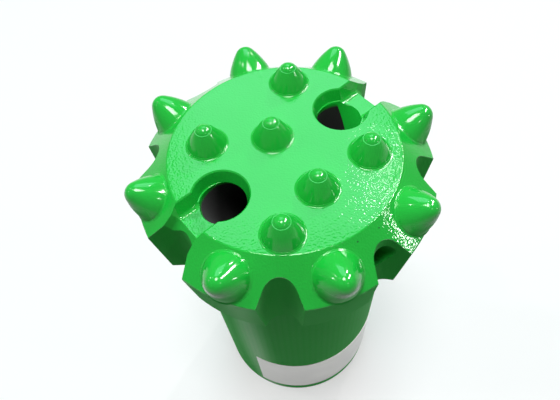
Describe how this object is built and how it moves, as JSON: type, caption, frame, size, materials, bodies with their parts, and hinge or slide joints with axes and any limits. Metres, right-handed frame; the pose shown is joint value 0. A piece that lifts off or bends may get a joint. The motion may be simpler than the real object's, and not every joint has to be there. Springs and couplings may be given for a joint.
{
  "type": "button drill bit",
  "caption": "Top-hammer rock drilling button bit: fluted head, inclined gauge buttons, conical front buttons, flushing holes and a left-hand threaded skirt.",
  "frame": {"origin": "centre of the skirt's open end, on the bit's axis, in the plane of the end face", "axes": "+Z along the bit's axis from the skirt's end to the front face; +Y away from the picture's camera, +X to its right"},
  "size_m": [0.0978, 0.0979, 0.1676],
  "materials": {
    "body_enamel": "glossy green enamel over steel, bare dark steel in the bores",
    "button_enamel": "glossy green enamel over tungsten carbide",
    "sticker": "plain off-white satin sticker"
  },
  "bodies": {
    "root": {"bit_body": "body_enamel", "gauge_button_1": "button_enamel", "gauge_button_2": "button_enamel", "gauge_button_3": "button_enamel", "gauge_button_4": "button_enamel", "gauge_button_5": "button_enamel", "gauge_button_6": "button_enamel", "gauge_button_7": "button_enamel", "gauge_button_8": "button_enamel", "front_button_1": "button_enamel", "front_button_2": "button_enamel", "front_button_3": "button_enamel", "front_button_4": "button_enamel", "front_button_5": "button_enamel", "front_button_6": "button_enamel", "label": "sticker"}
  },
  "joints": []
}
